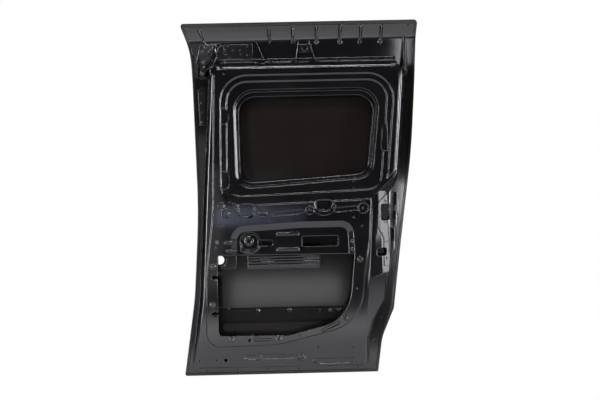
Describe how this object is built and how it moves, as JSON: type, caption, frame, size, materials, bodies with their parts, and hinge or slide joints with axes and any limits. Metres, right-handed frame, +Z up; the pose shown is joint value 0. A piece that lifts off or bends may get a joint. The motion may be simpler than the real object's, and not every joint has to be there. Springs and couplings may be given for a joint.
{
  "type": "van side load door shell",
  "caption": "Bare pressed-steel side load door of a van: stepped blank window rebate, service opening, latch wall, roller mounting points and wheel-arch cut.",
  "frame": {"origin": "on the floor of the lower roller arm's sunk seat, midway between its two bolt holes", "axes": "+X towards the rear (latch) edge, +Y out through the skin towards the street, +Z up"},
  "size_m": [0.8567, 0.1107, 1.252],
  "materials": {
    "skin_ecoat": "gloss black electrocoat over folded sheet steel",
    "panel_ecoat": "gloss black electrocoat over pressed sheet steel",
    "plate_ecoat": "gloss black electrocoat over thicker plate",
    "nut_steel": "bare zinc-plated nuts",
    "plug": "grey push-in plug"
  },
  "bodies": {
    "root": {"outer_skin": "skin_ecoat", "header_rail": "panel_ecoat", "window_frame": "panel_ecoat", "lower_frame": "panel_ecoat", "outer_handle_cup": "plate_ecoat", "intrusion_beam": "plate_ecoat", "handle_rail": "plate_ecoat", "latch_plate": "plate_ecoat", "stile_plate": "plate_ecoat", "upper_roller_plate": "plate_ecoat", "channel_patch": "plate_ecoat", "channel_gusset": "plate_ecoat", "channel_bracket": "plate_ecoat", "roller_weld_nuts": "nut_steel", "belt_weld_nuts": "nut_steel", "trim_weld_nuts": "nut_steel", "handle_insert_nuts": "nut_steel", "blanking_plug": "plug"}
  },
  "joints": []
}
